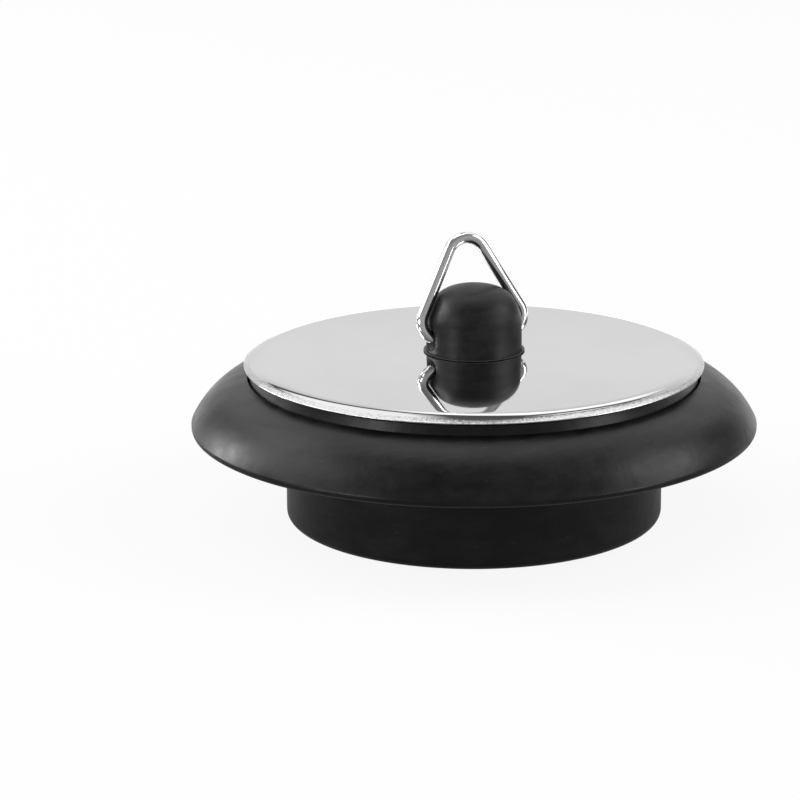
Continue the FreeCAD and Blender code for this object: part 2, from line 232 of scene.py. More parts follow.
def add_mix(tree, factor, first, second):
    """Adds a Mix node for two colours, whose sockets go by number, and gives its result."""
    node = add_node(tree, "ShaderNodeMix", {"data_type": "RGBA"}, Factor=factor)
    feed(tree, node.inputs[6], first)
    feed(tree, node.inputs[7], second)
    return node.outputs[2]


def add_axis_distance(tree, place):
    """Gives how far a place is from the stopper's axis, and its X, Y and Z."""
    parts = add_node(tree, "ShaderNodeSeparateXYZ", Vector=place).outputs
    across = add_node(tree, "ShaderNodeCombineXYZ", X=parts["X"], Y=parts["Y"])
    reach = add_node(tree, "ShaderNodeVectorMath", {"operation": "LENGTH"})
    feed(tree, reach.inputs[0], across.outputs["Vector"])
    return reach.outputs["Value"], parts


def new_skin_group(name, inputs):
    """An empty group that takes a position and more inputs, and puts out colour, roughness and height."""
    group = bpy.data.node_groups.new(name, "ShaderNodeTree")
    group.interface.new_socket("Position", in_out="INPUT", socket_type="NodeSocketVector")
    for socket_name, socket_type in inputs:
        group.interface.new_socket(socket_name, in_out="INPUT", socket_type=socket_type)
    group.interface.new_socket("Color", in_out="OUTPUT", socket_type="NodeSocketColor")
    group.interface.new_socket("Roughness", in_out="OUTPUT", socket_type="NodeSocketFloat")
    group.interface.new_socket("Height", in_out="OUTPUT", socket_type="NodeSocketFloat")
    return group, group.nodes.new("NodeGroupInput").outputs, group.nodes.new("NodeGroupOutput").inputs


def make_rubber_skin():
    """Moulded rubber: turning marks that the mould left, fine grain, a grey bloom, scuffs and dust, and a
    painted highlight on the torn edge of a flash.
    """
    group, given, result = new_skin_group(
        "moulded_rubber_skin",
        (
            ("Black", "NodeSocketColor"), ("Bloom", "NodeSocketColor"), ("DustAndHighlight", "NodeSocketColor"),
            ("Smoothest", "NodeSocketFloat"), ("Roughest", "NodeSocketFloat"),
            ("Torn From", "NodeSocketFloat"), ("Torn Above", "NodeSocketFloat"),
        ),
    )
    place = given["Position"]
    reach, parts = add_axis_distance(group, place)
    # Round the axis the turning marks run far, and across it they are fine.
    drift = add_math(group, "MULTIPLY", parts["X"], TURNING_ROUND_SHARE)
    ringed = add_node(
        group, "ShaderNodeCombineXYZ",
        X=add_math(group, "ADD", reach, drift),
        Y=add_math(group, "MULTIPLY", parts["Y"], TURNING_ROUND_SHARE),
        Z=parts["Z"],
    ).outputs["Vector"]
    turning = add_noise(group, ringed, TURNING_SCALE, detail=3)
    mottle = add_noise(group, place, MOTTLE_SCALE, detail=4, roughness=0.6)
    grain = add_noise(group, place, GRAIN_SCALE, detail=2)
    bloom = add_range(group, add_math(group, "ADD", mottle, turning), *BLOOM_SPREAD, 0.0, 1.0)
    colour = add_mix(group, bloom, given["Black"], given["Bloom"])
    # A few specks of dust and short scuffs lie on it.
    rubbed = add_noise(group, ringed, SCUFF_SCALE, detail=4, roughness=0.7)
    scuffs = add_range(group, rubbed, *SCUFF_EDGE, 0.0, SCUFF_STRENGTH)
    specks = add_range(group, grain, *SPECK_EDGE, 0.0, SPECK_STRENGTH)
    # Past a radius and above a height, where the flash was torn off at the mould, the edge gets a painted
    # highlight in the pale colour.
    past_radius = add_math(group, "SUBTRACT", reach, given["Torn From"])
    past_height = add_math(group, "SUBTRACT", parts["Z"], given["Torn Above"])
    past_both = add_math(group, "MINIMUM", past_radius, past_height)
    edge_highlight = add_range(group, past_both, 0.0, EDGE_HIGHLIGHT_FADE, 0.0, 1.0)
    dust_and_highlight = add_math(group, "MAXIMUM", add_math(group, "MAXIMUM", scuffs, specks), edge_highlight)
    feed(group, result["Color"], add_mix(group, dust_and_highlight, colour, given["DustAndHighlight"]))
    rough = add_range(group, mottle, *MOTTLE_SPREAD, given["Smoothest"], given["Roughest"])
    feed(group, result["Roughness"], rough)
    # Heights are in metres: the mottle is the deepest and the widest, the grain the finest.
    height = add_math(group, "MULTIPLY", mottle, MOTTLE_HEIGHT)
    height = add_math(group, "ADD", height, add_math(group, "MULTIPLY", turning, TURNING_HEIGHT))
    height = add_math(group, "ADD", height, add_math(group, "MULTIPLY", grain, GRAIN_HEIGHT))
    feed(group, result["Height"], height)
    return group


def new_skinned_material(name, skin, inputs, **constants):
    """A Principled material whose colour, roughness and bump come from a skin group."""
    material = bpy.data.materials.new(name)
    material.use_nodes = True
    tree = material.node_tree
    shader = tree.nodes["Principled BSDF"]
    position = add_node(tree, "ShaderNodeTexCoord").outputs["Object"]
    layer = add_node(tree, "ShaderNodeGroup", {"node_tree": skin}, Position=position, **inputs).outputs
    bump = add_node(tree, "ShaderNodeBump", Strength=1.0, Distance=1.0, Height=layer["Height"])
    feed(tree, shader.inputs["Base Color"], layer["Color"])
    feed(tree, shader.inputs["Roughness"], layer["Roughness"])
    feed(tree, shader.inputs["Normal"], bump.outputs["Normal"])
    for socket_name, value in constants.items():
        shader.inputs[socket_name.replace("_", " ")].default_value = value
    return material


rubber_skin = make_rubber_skin()
plug_rubber = new_skinned_material(
    "plug_rubber", rubber_skin,
    {
        "Black": RUBBER_BLACK, "Bloom": RUBBER_BLOOM, "DustAndHighlight": RUBBER_DUST_AND_HIGHLIGHT,
        "Smoothest": PLUG_SMOOTHEST, "Roughest": PLUG_ROUGHEST,
        "Torn_From": EDGE_HIGHLIGHT_NOWHERE, "Torn_Above": EDGE_HIGHLIGHT_NOWHERE,
    },
    Specular_IOR_Level=RUBBER_SPECULAR,
)


def circles_meet(centre_a, reach_a, centre_b, reach_b):
    """Where two circles in the section cross, to the left on the way from the first to the second."""
    span = centre_b - centre_a
    along = (span.length_squared + reach_a ** 2 - reach_b ** 2) / (2 * span.length)
    off = math.sqrt(reach_a ** 2 - along ** 2)
    ahead = span.normalized()
    return centre_a + ahead * along + Vector((-ahead.y, ahead.x)) * off


def angle_from(centre, point):
    """The direction of a point from a centre in the section, in degrees."""
    return math.degrees(math.atan2(point[1] - centre[1], point[0] - centre[0]))


def dome_centre(reach, radius, height):
    """The centre, on the axis, of a dome that passes through a point."""
    return Vector((0, height - math.sqrt(reach ** 2 - radius ** 2)))


def on_circle_at(centre, reach, radius):
    """The upper point of a circle at a distance from the axis."""
    return Vector((radius, centre.y + math.sqrt(reach ** 2 - (radius - centre.x) ** 2)))


hollow_radius = PLUG_RADIUS - PLUG_WALL
crease_z = PLUG_LENGTH + FLANGE_HEIGHT
roof_z = PAD_TOP - WEB_THICKNESS
edge_centre = Vector((FLANGE_RADIUS - FLANGE_EDGE_ROUND, PLUG_LENGTH + FLANGE_EDGE_ROUND))
crease = Vector((PAD_RADIUS + CREASE_WIDTH, crease_z))
shoulder_centre = circles_meet(
    edge_centre, FLANGE_SHOULDER_ROUND - FLANGE_EDGE_ROUND, crease, FLANGE_SHOULDER_ROUND
)
shoulder_start = angle_from(shoulder_centre, edge_centre)
shoulder_sweep = angle_from(shoulder_centre, crease) - shoulder_start
bulge_centre = dome_centre(PAD_BULGE_ROUND, STEM_HOLE_RADIUS, PAD_TOP)
pad_edge_centre = on_circle_at(
    bulge_centre, PAD_BULGE_ROUND - PAD_EDGE_ROUND, PAD_TOP_RADIUS - PAD_EDGE_ROUND
)
bulge_start = angle_from(bulge_centre, pad_edge_centre)
bulge_sweep = angle_from(bulge_centre, (STEM_HOLE_RADIUS, PAD_TOP)) - bulge_start

pen = SectionPen(hollow_radius + PLUG_RIM_ROUND, 0)
pen.line(PLUG_RADIUS - PLUG_RIM_ROUND, 0)
pen.arc(PLUG_RADIUS - PLUG_RIM_ROUND, PLUG_RIM_ROUND, 90, RIM_STEPS)
pen.line(PLUG_RADIUS, PLUG_LENGTH - PLUG_ROOT_ROUND)
pen.arc(PLUG_RADIUS + PLUG_ROOT_ROUND, PLUG_LENGTH - PLUG_ROOT_ROUND, -90, ROOT_STEPS)
pen.line(edge_centre.x - WITNESS_STEP, PLUG_LENGTH)
pen.arc(edge_centre.x - WITNESS_STEP, edge_centre.y, 90 + shoulder_start, RIM_STEPS)
pen.step(pen.tip.co.x + WITNESS_STEP, pen.tip.co.z)
pen.arc(shoulder_centre.x, shoulder_centre.y, shoulder_sweep, SHOULDER_STEPS)
pen.step(PAD_RADIUS, crease_z - CREASE_DEPTH)
pen.line(PAD_TOP_RADIUS, pad_edge_centre.y)
pen.arc(*pad_edge_centre, bulge_start, PAD_EDGE_STEPS)
pen.arc(*bulge_centre, bulge_sweep, BULGE_STEPS)
pen.line(STEM_HOLE_RADIUS, roof_z)
pen.line(hollow_radius - ROOF_ROUND, roof_z)
pen.arc(hollow_radius - ROOF_ROUND, roof_z - ROOF_ROUND, -90, RIM_STEPS)
pen.line(hollow_radius, PLUG_RIM_ROUND)
pen.arc(hollow_radius + PLUG_RIM_ROUND, PLUG_RIM_ROUND, 90, RIM_STEPS)
plug_mesh = pen.turn(PLUG_TURN_STEPS)
# Soft rubber is never quite round: the flange's edge wanders by a hair.
for vertex in plug_mesh.verts:
    out = Vector((vertex.co.x, vertex.co.y, 0))
    share = max(0.0, (out.length - PLUG_RADIUS) / (FLANGE_RADIUS - PLUG_RADIUS))
    if out.length > PAD_RADIUS + CREASE_WIDTH:
        wander = noise.noise(out.normalized() * FLANGE_WOBBLE_WAVES)
        vertex.co += out.normalized() * (FLANGE_WOBBLE * share * wander)
finish_piece("moulded_plug", plug_mesh, plug_rubber, "stopper", "rubber_plug")

# Steel cap.
# Thin stainless sheet, pressed to a slightly bulging disc with a rolled rim, then polished. The roll keeps
# the brush marks of the last pass. The disc sits on the plug's pad and is held down by the knob's foot.

cap_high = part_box("steel_cap")[1]
CAP_RADIUS = cap_high.x
CAP_TOP = cap_high.z
CAP_SHEET = 0.55 * MM
CAP_DOME_ROUND = 400.0 * MM
CAP_ROLL_START = 22.1 * MM
CAP_ROLL_ROUND = 6.0 * MM
CAP_EDGE_ROUND = 0.08 * MM
CAP_CUT_ROUND = 0.06 * MM
CAP_HOLE_RADIUS = 3.3 * MM
CAP_UNDER_STEPS = 24
CAP_CUT_STEPS = 4
CAP_EDGE_STEPS = 8
CAP_ROLL_STEPS = 16
CAP_DOME_STEPS = 32
CAP_TURN_STEPS = 360

STEEL_BRIGHT = (0.610, 0.610, 0.613, 1.0)
STEEL_DULL = (0.590, 0.590, 0.596, 1.0)
CAP_SMOOTHEST = 0.03
SMEAR_SCALE = 130
SMEAR_SPREAD = (0.35, 0.65)
SMEAR_DULL_SPREAD = (0.4, 0.7)
SMEAR_ROUGHENS = 0.025
SCRATCH_LAYS = ((25, 0.0), (-50, 0.013))
SCRATCH_SCALE = 9000
SCRATCH_SQUEEZE = (1.0, 0.02, 1.0)
SCRATCH_EDGE = (0.70, 0.78)
SCRATCH_ROUGHENS = 0.06
SCRATCH_DEPTH = 0.0001 * MM
BRUSHED_FROM = 23.5 * MM
BRUSHED_FADE = 0.3 * MM
BRUSHED_NOWHERE = 1.0
BRUSH_MARK = (0.36, 0.36, 0.36, 1.0)
BRUSH_ROUGHENS = 0.06
BRISTLE_SCALE = 2900
BRISTLE_EDGE = (0.50, 0.66)
BRISTLE_STRENGTH = 0.8
BRISTLE_HEIGHT = 0.030 * MM


def make_steel_skin():
    """Polished steel: hair-fine scratches in two directions, faint cloudy smears, and a brushed rim."""
    group, given, result = new_skin_group(
        "polished_steel_skin",
        (
            ("Bright", "NodeSocketColor"), ("Dull", "NodeSocketColor"), ("Mark", "NodeSocketColor"),
            ("Smoothest", "NodeSocketFloat"), ("Brushed From", "NodeSocketFloat"),
        ),
    )
    place = given["Position"]
    smear = add_noise(group, place, SMEAR_SCALE, detail=3, roughness=0.55)
    scratches = None
    for turn_degrees, shift in SCRATCH_LAYS:
        laid = add_node(
            group, "ShaderNodeMapping", Vector=place, Location=(shift, shift, 0),
            Rotation=(0, 0, math.radians(turn_degrees)), Scale=SCRATCH_SQUEEZE,
        )
        lines = add_noise(group, laid.outputs["Vector"], SCRATCH_SCALE, detail=1)
        thin = add_range(group, lines, *SCRATCH_EDGE, 0.0, 1.0)
        scratches = thin if scratches is None else add_math(group, "MAXIMUM", scratches, thin)
    smeared = add_range(group, smear, *SMEAR_SPREAD, 0.0, 1.0)
    colour = add_mix(group, smeared, given["Bright"], given["Dull"])
    dulled = add_range(group, smear, *SMEAR_DULL_SPREAD, 0.0, SMEAR_ROUGHENS)
    rough = add_math(group, "ADD", given["Smoothest"], dulled)
    rough = add_math(group, "ADD", rough, add_math(group, "MULTIPLY", scratches, SCRATCH_ROUGHENS))
    # Past a distance from the axis the sheet keeps the short marks of a brush.
    reach = add_axis_distance(group, place)[0]
    past = add_math(group, "SUBTRACT", reach, given["Brushed From"])
    brushed = add_range(group, past, 0.0, BRUSHED_FADE, 0.0, 1.0)
    bristles = add_noise(group, place, BRISTLE_SCALE, detail=3, roughness=0.7)
    strokes = add_range(group, bristles, *BRISTLE_EDGE, 0.0, BRISTLE_STRENGTH)
    marks = add_math(group, "MULTIPLY", brushed, strokes)
    feed(group, result["Color"], add_mix(group, marks, colour, given["Mark"]))
    rough = add_math(group, "ADD", rough, add_math(group, "MULTIPLY", brushed, BRUSH_ROUGHENS))
    feed(group, result["Roughness"], rough)
    scored = add_math(group, "MULTIPLY", scratches, -SCRATCH_DEPTH)
    brushing = add_math(group, "MULTIPLY", add_math(group, "MULTIPLY", brushed, bristles), BRISTLE_HEIGHT)
    feed(group, result["Height"], add_math(group, "ADD", scored, brushing))
    return group


steel_skin = make_steel_skin()
cap_steel = new_skinned_material(
    "cap_steel", steel_skin,
    {
        "Bright": STEEL_BRIGHT, "Dull": STEEL_DULL, "Mark": BRUSH_MARK,
        "Smoothest": CAP_SMOOTHEST, "Brushed_From": BRUSHED_FROM,
    },
    Metallic=1.0,
)

cap_under_z = CAP_TOP - CAP_SHEET
under_round = CAP_DOME_ROUND - CAP_SHEET
under_centre = dome_centre(under_round, CAP_HOLE_RADIUS, cap_under_z)
cut_centre = on_circle_at(under_centre, under_round + CAP_CUT_ROUND, CAP_RADIUS - CAP_CUT_ROUND)
top_centre = dome_centre(CAP_DOME_ROUND, CAP_HOLE_RADIUS, CAP_TOP)
roll_start = on_circle_at(top_centre, CAP_DOME_ROUND, CAP_ROLL_START)
roll_centre = roll_start.lerp(top_centre, CAP_ROLL_ROUND / CAP_DOME_ROUND)
rim_centre = on_circle_at(roll_centre, CAP_ROLL_ROUND - CAP_EDGE_ROUND, CAP_RADIUS - CAP_EDGE_ROUND)
under_begin = angle_from(under_centre, (CAP_HOLE_RADIUS, cap_under_z))
under_end = angle_from(under_centre, cut_centre)
roll_end = angle_from(roll_centre, rim_centre)
roll_begin = angle_from(top_centre, roll_start)
top_end = angle_from(top_centre, (CAP_HOLE_RADIUS, CAP_TOP))

pen = SectionPen(CAP_HOLE_RADIUS, cap_under_z)
pen.arc(*under_centre, under_end - under_begin, CAP_UNDER_STEPS)
pen.arc(*cut_centre, 180 - under_end, CAP_CUT_STEPS)
pen.line(CAP_RADIUS, rim_centre.y)
pen.arc(*rim_centre, roll_end, CAP_EDGE_STEPS)
pen.arc(*roll_centre, roll_begin - roll_end, CAP_ROLL_STEPS)
pen.arc(*top_centre, top_end - roll_begin, CAP_DOME_STEPS)
pen.line(CAP_HOLE_RADIUS, cap_under_z)
finish_piece("pressed_cap", pen.turn(CAP_TURN_STEPS), cap_steel, "stopper", "steel_cap")

# Rubber knob.
# Black moulded rubber: a domed grip with a thin flash lip at its foot, and a stem with a barbed tail that
# is pulled through the cap and the plug's web and holds all three together. The ring's hole runs across it,
# and its flanks give way where the ring's legs swing past.

knob_low, knob_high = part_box("rubber_knob")
KNOB_TOP = knob_high.z
TAIL_TIP_Z = knob_low.z
KNOB_RADIUS = 5.05 * MM
KNOB_SHOULDER_ROUND = 3.6 * MM
KNOB_CROWN_ROUND = 9.0 * MM
KNOB_FOOT_RADIUS = 5.03 * MM
STEM_RADIUS = 3.0 * MM
TAIL_RADIUS = 5.5 * MM
TAIL_NOSE = 2.2 * MM
TAIL_TIP_RADIUS = 2.4 * MM
TAIL_EDGE_ROUND = 0.25 * MM
TAIL_EDGE_STEPS = 5
KNOB_WALL_STEPS = 40
KNOB_SHOULDER_STEPS = 18
KNOB_CROWN_STEPS = 14
KNOB_TURN_STEPS = 256

LIP_RADIUS = 5.32 * MM
LIP_RISE = 0.02 * MM
LIP_CURL = 0.05 * MM
LIP_THICKNESS = 0.06 * MM
LIP_EDGE_STEPS = 4
LIP_WOBBLE = 0.05 * MM
LIP_RISE_WAVES = 4.0
LIP_REACH_WAVES = 9.0
LIP_CUT_SHARE = 0.75
# Past this radius, the flash's edge carries a painted highlight in the pale colour.
FLASH_HIGHLIGHT_FROM = 5.07 * MM
FLASH_NIBS = ((-111, 0.10 * MM), (-78, 0.08 * MM))
NIB_SPREAD = 1.6

hinge = frame["joints"][0]
HINGE_Z = hinge["pos_m"][2]
HINGE_AXIS = Vector(hinge["axis"])
WIRE_RADIUS = 0.61 * MM
RING_HALF_WIDTH = 5.8 * MM
RING_CORNER_ROUND = 1.81 * MM
RING_APEX_ROUND = 2.22 * MM
RING_REACH = 10.37 * MM
BORE_RADIUS = 0.69 * MM
BORE_HALF_LENGTH = 5.65 * MM
BORE_MOUTH_SWEEP = 56
BORE_MOUTH_STEPS = 12
BORE_TURN_STEPS = 64
DISH_ENDS = (116, 126)
DISH_FADE = 1.0 * MM
DISH_BLEND = 0.06 * MM

KNOB_BLACK = (0.0060, 0.0060, 0.0064, 1.0)
KNOB_BLOOM = (0.0190, 0.0190, 0.0194, 1.0)
KNOB_SMOOTHEST = 0.38
KNOB_ROUGHEST = 0.52

knob_rubber = new_skinned_material(
    "knob_rubber", rubber_skin,
    {
        "Black": KNOB_BLACK, "Bloom": KNOB_BLOOM, "DustAndHighlight": RUBBER_DUST_AND_HIGHLIGHT,
        "Smoothest": KNOB_SMOOTHEST, "Roughest": KNOB_ROUGHEST,
        "Torn_From": FLASH_HIGHLIGHT_FROM, "Torn_Above": CAP_TOP,
    },
    Specular_IOR_Level=RUBBER_SPECULAR,
)

shoulder_x = KNOB_RADIUS - KNOB_SHOULDER_ROUND
crown_z = KNOB_TOP - KNOB_CROWN_ROUND
crown_to_shoulder = KNOB_CROWN_ROUND - KNOB_SHOULDER_ROUND
shoulder_z = crown_z + math.sqrt(crown_to_shoulder ** 2 - shoulder_x ** 2)
dome_seam = angle_from((0, crown_z), (shoulder_x, shoulder_z))
lip_z = CAP_TOP + LIP_RISE

pen = SectionPen(0, TAIL_TIP_Z)
pen.line(TAIL_TIP_RADIUS, TAIL_TIP_Z)
pen.line(TAIL_RADIUS, TAIL_TIP_Z + TAIL_NOSE)
pen.line(TAIL_RADIUS, roof_z - TAIL_EDGE_ROUND)
pen.arc(TAIL_RADIUS - TAIL_EDGE_ROUND, roof_z - TAIL_EDGE_ROUND, 90, TAIL_EDGE_STEPS)
pen.line(STEM_RADIUS, roof_z)
pen.line(STEM_RADIUS, CAP_TOP)
pen.line(KNOB_FOOT_RADIUS, CAP_TOP)
pen.line(KNOB_FOOT_RADIUS, lip_z)
pen.step(LIP_RADIUS, lip_z + LIP_CURL)
pen.arc(LIP_RADIUS, lip_z + LIP_CURL + LIP_THICKNESS / 2, 180, LIP_EDGE_STEPS)
pen.step(KNOB_RADIUS, lip_z + LIP_THICKNESS)
pen.run(KNOB_RADIUS, shoulder_z, KNOB_WALL_STEPS)
pen.arc(shoulder_x, shoulder_z, dome_seam, KNOB_SHOULDER_STEPS)
pen.arc(0, crown_z, 90 - dome_seam, KNOB_CROWN_STEPS)
knob_mesh = pen.turn(KNOB_TURN_STEPS)

# The ring's own outline, in its plane: distances along the hinge line and up from it.
corner_centre = Vector((RING_HALF_WIDTH - RING_CORNER_ROUND, RING_CORNER_ROUND))
apex_centre = Vector((0, RING_REACH - RING_APEX_ROUND))
rising = math.atan2(apex_centre.y - corner_centre.y, apex_centre.x - corner_centre.x)
leg_lean = math.asin((RING_CORNER_ROUND - RING_APEX_ROUND) / (apex_centre - corner_centre).length)
leg_outward = rising - math.pi / 2 + leg_lean
leg_out = Vector((math.cos(leg_outward), math.sin(leg_outward)))
mouth_round = RING_CORNER_ROUND - BORE_RADIUS
mouth_sweep = math.radians(BORE_MOUTH_SWEEP)
mouth_radius = RING_CORNER_ROUND - mouth_round * math.cos(mouth_sweep)
dish_leg = corner_centre + leg_out * mouth_round


def dish_limit(reach):
    """How far the knob may stand out along the hinge line, at a distance from it, to miss the ring."""
    if reach > dish_leg.y:
        return dish_leg.x - (reach - dish_leg.y) * math.tan(leg_outward)
    below = corner_centre.y - max(reach, mouth_radius)
    return corner_centre.x + math.sqrt(mouth_round ** 2 - below ** 2)


# The ring's legs press the flanks in, evenly all the way that they swing.
hinge_point = Vector((0, 0, HINGE_Z))
dish_start, dish_stop = DISH_ENDS
for vertex in knob_mesh.verts:
    if vertex.co.z < lip_z + LIP_THICKNESS * 2:
        continue
    along = (vertex.co - hinge_point).dot(HINGE_AXIS)
    arm = vertex.co - hinge_point - HINGE_AXIS * along
    past_end = (math.degrees(arm.angle(Vector((0, 0, 1)))) - dish_start) / (dish_stop - dish_start)
    limit = dish_limit(arm.length) + DISH_FADE * max(0.0, past_end)
    over = abs(along) - limit
    pressed = (over + math.hypot(over, DISH_BLEND)) / 2
    vertex.co -= HINGE_AXIS * math.copysign(pressed, along)
# The flash was torn off by hand: it stands out at the mould's two sides and is cut close between them,
# its edge waves, and two nibs are left on it.
for vertex in knob_mesh.verts:
    out = Vector((vertex.co.x, vertex.co.y, 0))
    if out.length > KNOB_RADIUS + LIP_WOBBLE and vertex.co.z > CAP_TOP:
        azimuth = math.degrees(math.atan2(vertex.co.y, vertex.co.x))
        cut_close = LIP_CUT_SHARE * out.normalized().y ** 2
        vertex.co -= out.normalized() * (LIP_RADIUS - KNOB_RADIUS) * cut_close
        vertex.co.z += LIP_WOBBLE * noise.noise(out.normalized() * LIP_RISE_WAVES)
        vertex.co += out.normalized() * (LIP_WOBBLE * noise.noise(out.normalized() * LIP_REACH_WAVES))
        for nib_azimuth, nib_reach in FLASH_NIBS:
            nib = nib_reach * math.exp(-((azimuth - nib_azimuth) / NIB_SPREAD) ** 2)
            vertex.co += out.normalized() * nib


def to_hinge():
    """Carries a shape in the XZ plane onto the hinge line, with X along the line."""
    yaw = math.atan2(HINGE_AXIS.y, HINGE_AXIS.x)
    return Matrix.Translation((0, 0, HINGE_Z)) @ Matrix.Rotation(yaw, 4, "Z")


def cut_with(piece, cutter_mesh, name):
    """Cuts a closed shape out of a piece and leaves no modifier on it."""
    data = bpy.data.meshes.new(name)
    cutter_mesh.to_mesh(data)
    cutter_mesh.free()
    cutter = bpy.data.objects.new(name, data)
    bpy.context.scene.collection.objects.link(cutter)
    cut = piece.modifiers.new(name, "BOOLEAN")
    cut.operation = "DIFFERENCE"
    cut.solver = "EXACT"
    cut.object = cutter
    bpy.context.view_layer.update()
    whole = piece.evaluated_get(bpy.context.evaluated_depsgraph_get())
    piece.data = bpy.data.meshes.new_from_object(whole)
    piece.modifiers.remove(cut)
    bpy.data.objects.remove(cutter)


# The hole is turned about Z with a bell mouth at each end, and then laid along the hinge line.
pen = SectionPen(0, -BORE_HALF_LENGTH)
pen.line(mouth_radius, -BORE_HALF_LENGTH)
pen.line(mouth_radius, -corner_centre.x - mouth_round * math.sin(mouth_sweep))
pen.arc(RING_CORNER_ROUND, -corner_centre.x, -BORE_MOUTH_SWEEP, BORE_MOUTH_STEPS)
pen.line(BORE_RADIUS, corner_centre.x)
pen.arc(RING_CORNER_ROUND, corner_centre.x, -BORE_MOUTH_SWEEP, BORE_MOUTH_STEPS)
pen.line(mouth_radius, BORE_HALF_LENGTH)
pen.line(0, BORE_HALF_LENGTH)
bore_mesh = pen.turn(BORE_TURN_STEPS)
bore_place = to_hinge() @ Matrix.Rotation(math.pi / 2, 4, "Y")
bmesh.ops.transform(bore_mesh, matrix=bore_place, verts=bore_mesh.verts)
knob = finish_piece("knob_grip", knob_mesh, knob_rubber, "stopper", "rubber_knob")
cut_with(knob, bore_mesh, "ring_bore")
knob.data.set_sharp_from_angle(angle=math.radians(SHARP_DEGREES))

# Pull ring.
# Bright drawn steel wire, bent to a rounded triangle and sprung into the knob's cross hole,
# where its two ends stop a little apart. It swings in the hole and leans back at rest.

RING_END_GAP = 0.6 * MM
RING_LEAN = 12.7
WIRE_SIDES = 32
CORNER_STEPS = 24
APEX_STEPS = 16
WIRE_BRIGHT = (0.780, 0.780, 0.785, 1.0)
WIRE_DULL = (0.640, 0.640, 0.650, 1.0)
WIRE_SMOOTHEST = 0.06

wire_steel = new_skinned_material(
    "wire_steel", steel_skin,
    {
        "Bright": WIRE_BRIGHT, "Dull": WIRE_DULL, "Mark": WIRE_DULL,
        "Smoothest": WIRE_SMOOTHEST, "Brushed_From": BRUSHED_NOWHERE,
    },
    Metallic=1.0,
)


def draw_wire(mesh, edges, along):
    """Draws the wire's end loop straight on."""
    drawn = bmesh.ops.extrude_edge_only(mesh, edges=edges)["geom"]
    drawn_verts = [item for item in drawn if isinstance(item, bmesh.types.BMVert)]
    bmesh.ops.translate(mesh, verts=drawn_verts, vec=along)
    return [item for item in drawn if isinstance(item, bmesh.types.BMEdge) and item.is_boundary]


def bend_wire(mesh, edges, centre, degrees, steps):
    """Bends the wire's end loop round a centre in the ring's plane."""
    bent = bmesh.ops.spin(
        mesh, geom=edges, cent=(centre.x, 0, centre.y), axis=(0, -1, 0),
        angle=math.radians(degrees), steps=steps,
    )["geom_last"]
    return [item for item in bent if isinstance(item, bmesh.types.BMEdge)]


# One half is bent from the wire's end to the middle of the top bend, and mirrored.
ring_mesh = bmesh.new()
bmesh.ops.create_circle(ring_mesh, cap_ends=True, segments=WIRE_SIDES, radius=WIRE_RADIUS)
across_the_wire = Matrix.Rotation(math.pi / 2, 3, "Y")
bmesh.ops.rotate(ring_mesh, verts=ring_mesh.verts, cent=(0, 0, 0), matrix=across_the_wire)
bmesh.ops.translate(ring_mesh, verts=ring_mesh.verts, vec=(RING_END_GAP / 2, 0, 0))
leg = (apex_centre - corner_centre) + leg_out * (RING_APEX_ROUND - RING_CORNER_ROUND)
leg_degrees = math.degrees(leg_outward)
end_loop = draw_wire(ring_mesh, ring_mesh.edges[:], (corner_centre.x - RING_END_GAP / 2, 0, 0))
end_loop = bend_wire(ring_mesh, end_loop, corner_centre, 90 + leg_degrees, CORNER_STEPS)
end_loop = draw_wire(ring_mesh, end_loop, (leg.x, 0, leg.y))
bend_wire(ring_mesh, end_loop, apex_centre, 90 - leg_degrees, APEX_STEPS)
half_ring = ring_mesh.verts[:] + ring_mesh.edges[:] + ring_mesh.faces[:]
bmesh.ops.mirror(ring_mesh, geom=half_ring, axis="X", merge_dist=MERGE_WITHIN)
close_seams(ring_mesh)
ring_place = to_hinge() @ Matrix.Rotation(math.radians(-RING_LEAN), 4, "X")
bmesh.ops.transform(ring_mesh, matrix=ring_place, verts=ring_mesh.verts)
finish_piece("wire_ring", ring_mesh, wire_steel, "ring", "pull_ring")

# Floor.
# A wide sheet under the object. The eye sees it white, with the object's shadow on it.
# In reflections it is dim on the camera's side and bright behind the object.

FLOOR_HALF = 3.0
FLOOR_LIT_SHARE = 0.10
FLOOR_IN_MIRRORS = (0.30, 1.35)
FLOOR_FADE = (0.0, 0.12)

floor_mesh = bmesh.new()
bmesh.ops.create_grid(floor_mesh, x_segments=1, y_segments=1, size=FLOOR_HALF)
floor_data = bpy.data.meshes.new("floor")
floor_mesh.to_mesh(floor_data)
floor_mesh.free()
floor = bpy.data.objects.new("floor", floor_data)
bpy.context.scene.collection.objects.link(floor)


def ray_kinds(tree):
    """Gives two masks: rays straight from the camera, and rays from a mirror or glass."""
    path = add_node(tree, "ShaderNodeLightPath").outputs
    mirrored = add_math(tree, "MAXIMUM", path["Is Glossy Ray"], path["Is Transmission Ray"])
    return path["Is Camera Ray"], mirrored


